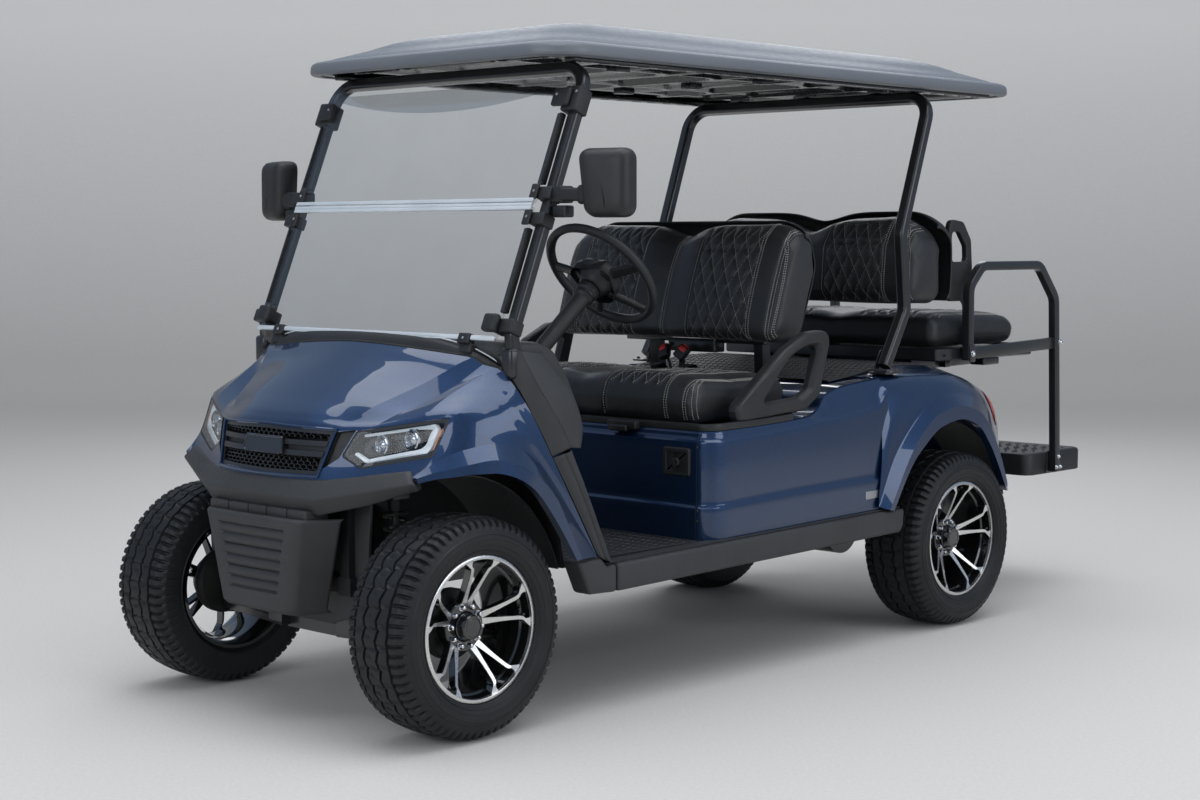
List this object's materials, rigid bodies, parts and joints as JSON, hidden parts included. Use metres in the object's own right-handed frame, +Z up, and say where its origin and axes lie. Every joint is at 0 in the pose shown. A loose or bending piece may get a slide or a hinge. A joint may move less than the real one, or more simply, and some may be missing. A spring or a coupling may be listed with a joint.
{
  "type": "four-seat golf cart",
  "caption": "Golf cart with a roof on bent struts, folding windshield, front bench, rear-facing rear seat with footplate and grab rails, alloy wheels and working steering.",
  "frame": {"origin": "on the ground under the middle of the overall length and width", "axes": "-Y forwards, +X to the driver's left side, +Z up"},
  "size_m": [1.636, 3.5069, 1.9258],
  "materials": {
    "body_paint": "deep metallic blue with a clear coat",
    "trim_plastic": "charcoal moulded plastic, fine grain",
    "dark_plastic": "black moulded plastic",
    "black_steel": "black powder coat, semi-gloss",
    "shock_metal": "black coil springs over dark damper bodies",
    "seat_leather": "black vinyl with grey double stitching",
    "mat_rubber": "black patterned rubber",
    "roof_plastic": "satin grey moulded roof",
    "clear_sheet": "clear folding windshield",
    "head_lens": "clear lens over a dark housing",
    "tail_lens": "red lamp lens",
    "wheel_alloy": "gloss black with machined faces",
    "tyre_rubber": "black road tread"
  },
  "bodies": {
    "cart": {"backrest_posts": "black_steel", "backrest_shell": "dark_plastic", "battery_pack": "dark_plastic", "canopy_struts": "black_steel", "chassis_frame": "black_steel", "cowl_trims": "trim_plastic", "dashboard": "dark_plastic", "floor_pan": "dark_plastic", "footplate": "dark_plastic", "front_backrest": "seat_leather", "front_bumper": "trim_plastic", "front_cushion": "seat_leather", "front_fascia": "body_paint", "front_suspension": "black_steel", "front_valance": "trim_plastic", "grab_rails": "black_steel", "grille": "dark_plastic", "headlamps": "head_lens", "hip_restraints": "trim_plastic", "hood": "body_paint", "mirrors": "dark_plastic", "rear_axle": "black_steel", "rear_backrest": "seat_leather", "rear_body": "body_paint", "rear_cushion": "seat_leather", "rear_seat_frame": "black_steel", "roof": "roof_plastic", "roof_liner": "dark_plastic", "rubber_mats": "mat_rubber", "seat_box": "body_paint", "seat_handles": "dark_plastic", "shock_absorbers": "shock_metal", "sills": "trim_plastic", "steering_column": "black_steel", "tail_lamps": "tail_lens", "windshield_clamps": "dark_plastic", "windshield_lower": "clear_sheet", "windshield_upper": "clear_sheet"},
    "knuckle_left": {"knuckle_left": "black_steel"},
    "knuckle_right": {"knuckle_right": "black_steel"},
    "tie_rod": {"tie_rod": "black_steel"},
    "steering_wheel": {"steering_wheel": "dark_plastic"},
    "wheel_front_left": {"rim_front_left": "wheel_alloy", "tyre_front_left": "tyre_rubber"},
    "wheel_front_right": {"rim_front_right": "wheel_alloy", "tyre_front_right": "tyre_rubber"},
    "wheel_rear_left": {"rim_rear_left": "wheel_alloy", "tyre_rear_left": "tyre_rubber"},
    "wheel_rear_right": {"rim_rear_right": "wheel_alloy", "tyre_rear_right": "tyre_rubber"}
  },
  "joints": [
    {"name": "steer_left", "type": "hinge", "parent": "cart", "child": "knuckle_left", "pos_m": [0.46, -1.4615, 0.292], "axis": [0, 0, 1], "range_deg": [-28, 28]},
    {"name": "steer_right", "type": "hinge", "parent": "cart", "child": "knuckle_right", "pos_m": [-0.46, -1.4615, 0.292], "axis": [0, 0, 1], "range_deg": [-28, 28]},
    {"name": "tie_rod_pivot", "type": "hinge", "parent": "knuckle_left", "child": "tie_rod", "pos_m": [0.46, -1.3435, 0.252], "axis": [0, 0, 1], "range_deg": [-28, 28]},
    {"name": "steering_wheel_turn", "type": "hinge", "parent": "cart", "child": "steering_wheel", "pos_m": [0.28, -0.6615, 1.19], "axis": [0, 0.766, 0.6428], "range_deg": [-336, 336]},
    {"name": "spin_front_left", "type": "hinge", "parent": "knuckle_left", "child": "wheel_front_left", "pos_m": [0.5185, -1.4615, 0.292], "axis": [1, 0, 0], "continuous": true},
    {"name": "spin_front_right", "type": "hinge", "parent": "knuckle_right", "child": "wheel_front_right", "pos_m": [-0.5185, -1.4615, 0.292], "axis": [1, 0, 0], "continuous": true},
    {"name": "spin_rear_left", "type": "hinge", "parent": "cart", "child": "wheel_rear_left", "pos_m": [0.5185, 0.7385, 0.292], "axis": [1, 0, 0], "continuous": true},
    {"name": "spin_rear_right", "type": "hinge", "parent": "cart", "child": "wheel_rear_right", "pos_m": [-0.5185, 0.7385, 0.292], "axis": [1, 0, 0], "continuous": true}
  ],
  "couplings": [
    {"joint": "steer_right", "follows": "steer_left", "ratio": 1},
    {"joint": "tie_rod_pivot", "follows": "steer_left", "ratio": -1},
    {"joint": "steering_wheel_turn", "follows": "steer_left", "ratio": 12}
  ]
}
